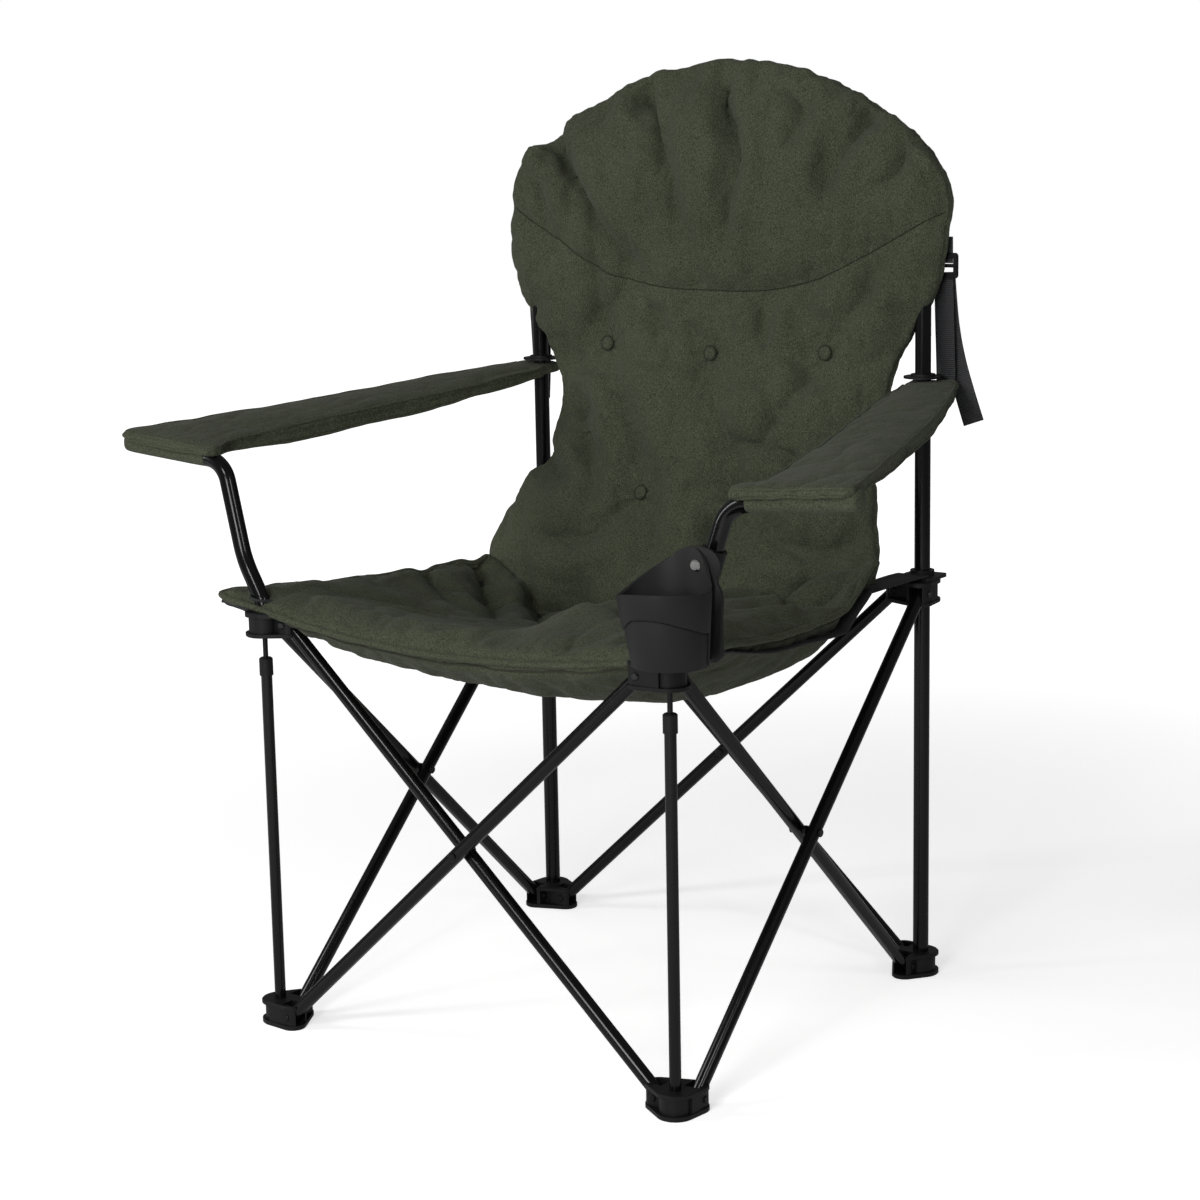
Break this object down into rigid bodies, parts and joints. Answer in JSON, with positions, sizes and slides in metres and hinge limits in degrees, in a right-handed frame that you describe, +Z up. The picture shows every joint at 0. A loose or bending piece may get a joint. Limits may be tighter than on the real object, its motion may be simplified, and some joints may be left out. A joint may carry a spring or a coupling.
{
  "type": "folding camp chair",
  "caption": "Padded folding camp chair: crossed tube legs on corner hubs fold together, with armrests, a tufted back and a cup holder.",
  "frame": {"origin": "on the floor under the middle of the open chair's outline", "axes": "+X to the sitter's left, +Y to the back of the chair, +Z up"},
  "size_m": [1.009, 0.7161, 1.1065],
  "materials": {
    "coated_tube": "satin",
    "moulded_plastic": "matte",
    "pin_steel": "gloss",
    "bright_rivet": "gloss",
    "rod_steel": "gloss",
    "padded_fabric": "matte",
    "sling_fabric": "matte",
    "webbing": "satin"
  },
  "bodies": {
    "front_left_foot": {"front_left_foot": "moulded_plastic", "front_left_foot_pins": "pin_steel", "front_left_strut_tube": "coated_tube", "front_left_strut_collar": "moulded_plastic"},
    "front_left_hub": {"front_left_hub": "moulded_plastic", "front_left_hub_pins": "pin_steel", "front_left_strut_rod": "rod_steel", "left_arm_post": "coated_tube", "left_armrest": "padded_fabric"},
    "front_right_foot": {"front_right_foot": "moulded_plastic", "front_right_foot_pins": "pin_steel", "front_right_strut_tube": "coated_tube", "front_right_strut_collar": "moulded_plastic"},
    "front_right_hub": {"front_right_hub": "moulded_plastic", "front_right_hub_pins": "pin_steel", "front_right_strut_rod": "rod_steel", "right_arm_post": "coated_tube", "right_armrest": "padded_fabric", "cup_holder": "moulded_plastic", "cup_holder_clamp": "moulded_plastic", "cup_holder_rivet": "bright_rivet"},
    "rear_left_foot": {"rear_left_foot": "moulded_plastic", "rear_left_foot_pins": "pin_steel", "left_back_pole": "coated_tube", "left_pole_cap": "moulded_plastic", "left_arm_ring": "moulded_plastic", "left_strap": "webbing", "left_buckle": "moulded_plastic", "back_pad": "padded_fabric", "back_buttons": "padded_fabric"},
    "rear_left_hub": {"rear_left_hub": "moulded_plastic", "rear_left_hub_pins": "pin_steel", "rear_left_corner_plate": "moulded_plastic"},
    "rear_right_foot": {"rear_right_foot": "moulded_plastic", "rear_right_foot_pins": "pin_steel", "right_back_pole": "coated_tube", "right_pole_cap": "moulded_plastic", "right_arm_ring": "moulded_plastic", "right_strap": "webbing", "right_buckle": "moulded_plastic"},
    "rear_right_hub": {"rear_right_hub": "moulded_plastic", "rear_right_hub_pins": "pin_steel", "rear_right_corner_plate": "moulded_plastic"},
    "front_outer_leg": {"front_outer_leg": "coated_tube", "front_cross_rivet": "pin_steel"},
    "front_inner_leg": {"front_inner_leg": "coated_tube"},
    "rear_outer_leg": {"rear_outer_leg": "coated_tube"},
    "rear_inner_leg": {"rear_inner_leg": "coated_tube", "rear_cross_rivet": "pin_steel"},
    "left_outer_leg": {"left_outer_leg": "coated_tube"},
    "left_inner_leg": {"left_inner_leg": "coated_tube", "left_cross_rivet": "pin_steel"},
    "right_outer_leg": {"right_outer_leg": "coated_tube", "right_cross_rivet": "pin_steel"},
    "right_inner_leg": {"right_inner_leg": "coated_tube"},
    "seat_front": {"seat_pad_front": "padded_fabric", "seat_sling_front": "sling_fabric"},
    "seat_rear": {"seat_pad_rear": "padded_fabric", "seat_sling_rear": "sling_fabric"}
  },
  "joints": [
    {"name": "fold", "type": "hinge", "parent": "front_left_foot", "child": "front_outer_leg", "pos_m": [-0.252, -0.248, 0.0145], "axis": [0, -1, 0], "range_deg": [0, 44], "deforming": ["seat_pad_front", "seat_pad_rear", "seat_sling_front", "seat_sling_rear", "back_pad", "back_buttons", "left_armrest", "right_armrest", "left_strap", "right_strap"]},
    {"name": "front_crossing", "type": "hinge", "parent": "front_outer_leg", "child": "front_inner_leg", "pos_m": [0, -0.238, 0.248], "axis": [0, 1, 0], "range_deg": [0, 88]},
    {"name": "front_right_foot_pivot", "type": "hinge", "parent": "front_inner_leg", "child": "front_right_foot", "pos_m": [0.252, -0.228, 0.0145], "axis": [0, -1, 0], "range_deg": [0, 44]},
    {"name": "front_left_hub_pivot", "type": "hinge", "parent": "front_inner_leg", "child": "front_left_hub", "pos_m": [-0.252, -0.228, 0.4815], "axis": [0, -1, 0], "range_deg": [0, 44]},
    {"name": "front_right_hub_pivot", "type": "hinge", "parent": "front_outer_leg", "child": "front_right_hub", "pos_m": [0.252, -0.248, 0.4815], "axis": [0, 1, 0], "range_deg": [0, 44]},
    {"name": "left_foot_pivot", "type": "hinge", "parent": "front_left_foot", "child": "left_inner_leg", "pos_m": [-0.27, -0.214, 0.0145], "axis": [1, 0, 0], "range_deg": [0, 44]},
    {"name": "left_crossing", "type": "hinge", "parent": "left_inner_leg", "child": "left_outer_leg", "pos_m": [-0.28, 0.038, 0.248], "axis": [-1, 0, 0], "range_deg": [0, 88]},
    {"name": "rear_left_foot_pivot", "type": "hinge", "parent": "left_outer_leg", "child": "rear_left_foot", "pos_m": [-0.29, 0.29, 0.0145], "axis": [1, 0, 0], "range_deg": [0, 44]},
    {"name": "rear_left_hub_pivot", "type": "hinge", "parent": "left_inner_leg", "child": "rear_left_hub", "pos_m": [-0.27, 0.29, 0.4815], "axis": [-1, 0, 0], "range_deg": [0, 44]},
    {"name": "right_foot_pivot", "type": "hinge", "parent": "front_right_foot", "child": "right_outer_leg", "pos_m": [0.29, -0.214, 0.0145], "axis": [1, 0, 0], "range_deg": [0, 44]},
    {"name": "right_crossing", "type": "hinge", "parent": "right_outer_leg", "child": "right_inner_leg", "pos_m": [0.28, 0.038, 0.248], "axis": [-1, 0, 0], "range_deg": [0, 88]},
    {"name": "rear_right_foot_pivot", "type": "hinge", "parent": "right_inner_leg", "child": "rear_right_foot", "pos_m": [0.27, 0.29, 0.0145], "axis": [1, 0, 0], "range_deg": [0, 44]},
    {"name": "rear_right_hub_pivot", "type": "hinge", "parent": "right_outer_leg", "child": "rear_right_hub", "pos_m": [0.29, 0.29, 0.4815], "axis": [-1, 0, 0], "range_deg": [0, 44]},
    {"name": "rear_foot_pivot", "type": "hinge", "parent": "rear_left_foot", "child": "rear_inner_leg", "pos_m": [-0.252, 0.304, 0.0145], "axis": [0, -1, 0], "range_deg": [0, 44]},
    {"name": "rear_crossing", "type": "hinge", "parent": "rear_inner_leg", "child": "rear_outer_leg", "pos_m": [0, 0.314, 0.248], "axis": [0, 1, 0], "range_deg": [0, 88]},
    {"name": "seat_front_fold", "type": "hinge", "parent": "front_left_hub", "child": "seat_front", "pos_m": [0, -0.228, 0.4984], "axis": [-1, 0, 0], "range_deg": [0, 82.86]},
    {"name": "seat_rear_fold", "type": "hinge", "parent": "rear_left_hub", "child": "seat_rear", "pos_m": [0, 0.304, 0.4984], "axis": [1, 0, 0], "range_deg": [0, 82.86]}
  ],
  "couplings": [
    {"joint": "front_crossing", "follows": "fold", "ratio": 2},
    {"joint": "front_right_foot_pivot", "follows": "fold", "ratio": 1},
    {"joint": "front_left_hub_pivot", "follows": "fold", "ratio": 1},
    {"joint": "front_right_hub_pivot", "follows": "fold", "ratio": 1},
    {"joint": "left_foot_pivot", "follows": "fold", "ratio": 1},
    {"joint": "left_crossing", "follows": "fold", "ratio": 2},
    {"joint": "rear_left_foot_pivot", "follows": "fold", "ratio": 1},
    {"joint": "rear_left_hub_pivot", "follows": "fold", "ratio": 1},
    {"joint": "right_foot_pivot", "follows": "fold", "ratio": 1},
    {"joint": "right_crossing", "follows": "fold", "ratio": 2},
    {"joint": "rear_right_foot_pivot", "follows": "fold", "ratio": 1},
    {"joint": "rear_right_hub_pivot", "follows": "fold", "ratio": 1},
    {"joint": "rear_foot_pivot", "follows": "fold", "ratio": 1},
    {"joint": "rear_crossing", "follows": "fold", "ratio": 2},
    {"joint": "seat_front_fold", "follows": "fold", "ratio": 1.8831},
    {"joint": "seat_rear_fold", "follows": "fold", "ratio": 1.8831}
  ]
}
